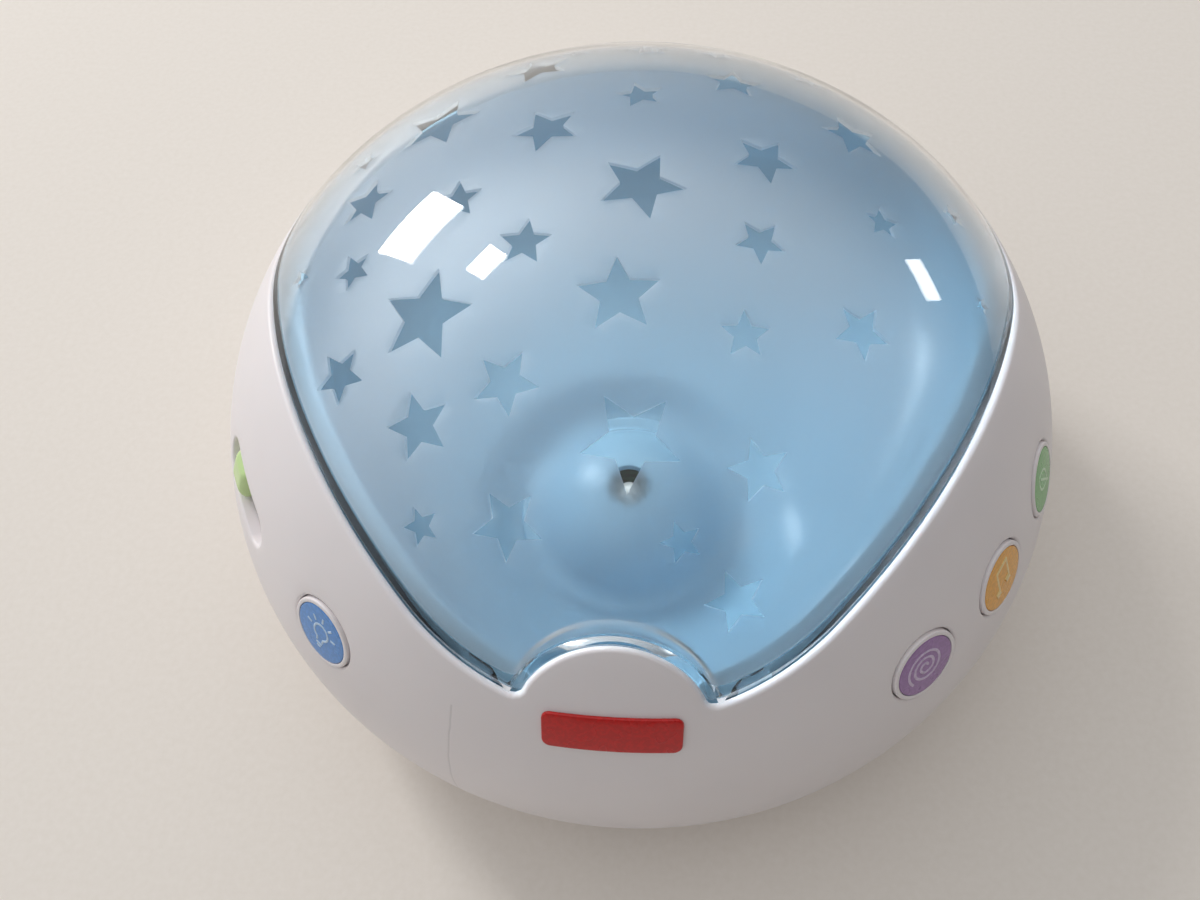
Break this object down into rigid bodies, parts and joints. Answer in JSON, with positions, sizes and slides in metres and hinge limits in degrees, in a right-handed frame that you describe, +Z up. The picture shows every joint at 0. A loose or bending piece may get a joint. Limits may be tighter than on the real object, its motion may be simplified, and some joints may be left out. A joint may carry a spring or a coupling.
{
  "type": "crib mobile projector",
  "caption": "Low bun-shaped nursery light projector with a frosted star dome over a lamp tray, round push buttons, a volume slide and a battery door underneath.",
  "frame": {"origin": "centre of the footprint, on the plane that the feet stand on", "axes": "+Z up, -Y towards the front tongue, +X to the right of a viewer who faces the front"},
  "size_m": [0.19, 0.19, 0.11],
  "materials": {
    "white_plastic": "satin moulded",
    "clear_plastic": "clear polished",
    "frosted_blue": "frosted",
    "pale_blue": "smooth moulded",
    "board_green": "solder mask",
    "lamp_clear": "clear lens",
    "badge_red": "plain blank plate",
    "knob_green": "smooth moulded",
    "steel": "zinc plated",
    "black_plastic": "moulded",
    "capacitor_blue": "sleeved can",
    "cone_paper": "pressed",
    "ferrite": "ground",
    "cell_wrap": "printed sleeve, unlettered",
    "contact_metal": "nickel plated",
    "grey_plastic": "moulded",
    "grey_rubber": "matt",
    "switch_grey": "moulded",
    "disc_blue": "printed",
    "disc_purple": "printed",
    "disc_orange": "printed",
    "disc_green": "printed"
  },
  "bodies": {
    "case": {"upper_housing": "white_plastic", "base_tray": "white_plastic", "clear_dome": "clear_plastic", "star_screen": "frosted_blue", "reflector_tray": "pale_blue", "lamp_turret": "pale_blue", "lamp_board": "board_green", "lamp_led": "lamp_clear", "front_badge": "badge_red", "light_button_switch": "switch_grey", "light_button_board": "board_green", "swirl_button_switch": "switch_grey", "swirl_button_board": "board_green", "music_button_switch": "switch_grey", "music_button_board": "board_green", "nature_button_switch": "switch_grey", "nature_button_board": "board_green", "volume_track": "white_plastic", "volume_switch": "steel", "main_board": "board_green", "sound_chip": "black_plastic", "capacitors": "capacitor_blue", "speaker_frame": "steel", "speaker_cone": "cone_paper", "speaker_magnet": "ferrite", "battery_cells": "cell_wrap", "battery_contacts": "contact_metal", "arm_socket": "grey_plastic", "rubber_feet": "grey_rubber", "housing_screws": "steel", "tray_screws": "steel", "turret_screws": "steel", "board_screws": "steel", "button_screws": "steel", "volume_screws": "steel", "speaker_screws": "steel"},
    "light_key": {"light_button": "white_plastic", "light_button_disc": "disc_blue", "light_button_plunger": "black_plastic"},
    "swirl_key": {"swirl_button": "white_plastic", "swirl_button_disc": "disc_purple", "swirl_button_plunger": "black_plastic"},
    "music_key": {"music_button": "white_plastic", "music_button_disc": "disc_orange", "music_button_plunger": "black_plastic"},
    "nature_key": {"nature_button": "white_plastic", "nature_button_disc": "disc_green", "nature_button_plunger": "black_plastic"},
    "volume_slider": {"volume_knob": "knob_green"},
    "door": {"battery_door": "white_plastic", "door_screws": "steel"}
  },
  "joints": [
    {"name": "light_press", "type": "slide", "parent": "case", "child": "light_key", "axis": [0.5828, 0.6824, -0.4412], "range_m": [0, 0.0015], "stiffness_N_per_m": 300, "springref_m": -0.001},
    {"name": "swirl_press", "type": "slide", "parent": "case", "child": "swirl_key", "axis": [-0.5828, 0.6824, -0.4412], "range_m": [0, 0.0015], "stiffness_N_per_m": 300, "springref_m": -0.001},
    {"name": "music_press", "type": "slide", "parent": "case", "child": "music_key", "axis": [-0.7462, 0.4986, -0.4412], "range_m": [0, 0.0015], "stiffness_N_per_m": 300, "springref_m": -0.001},
    {"name": "nature_press", "type": "slide", "parent": "case", "child": "nature_key", "axis": [-0.8535, 0.2773, -0.4412], "range_m": [0, 0.0015], "stiffness_N_per_m": 300, "springref_m": -0.001},
    {"name": "volume_slide", "type": "slide", "parent": "case", "child": "volume_slider", "axis": [0.4321, -0.9018, 0], "range_m": [0, 0.01]},
    {"name": "door_lift_off", "type": "slide", "parent": "case", "child": "door", "axis": [0, 0, -1], "range_m": [0, 0.02]}
  ]
}
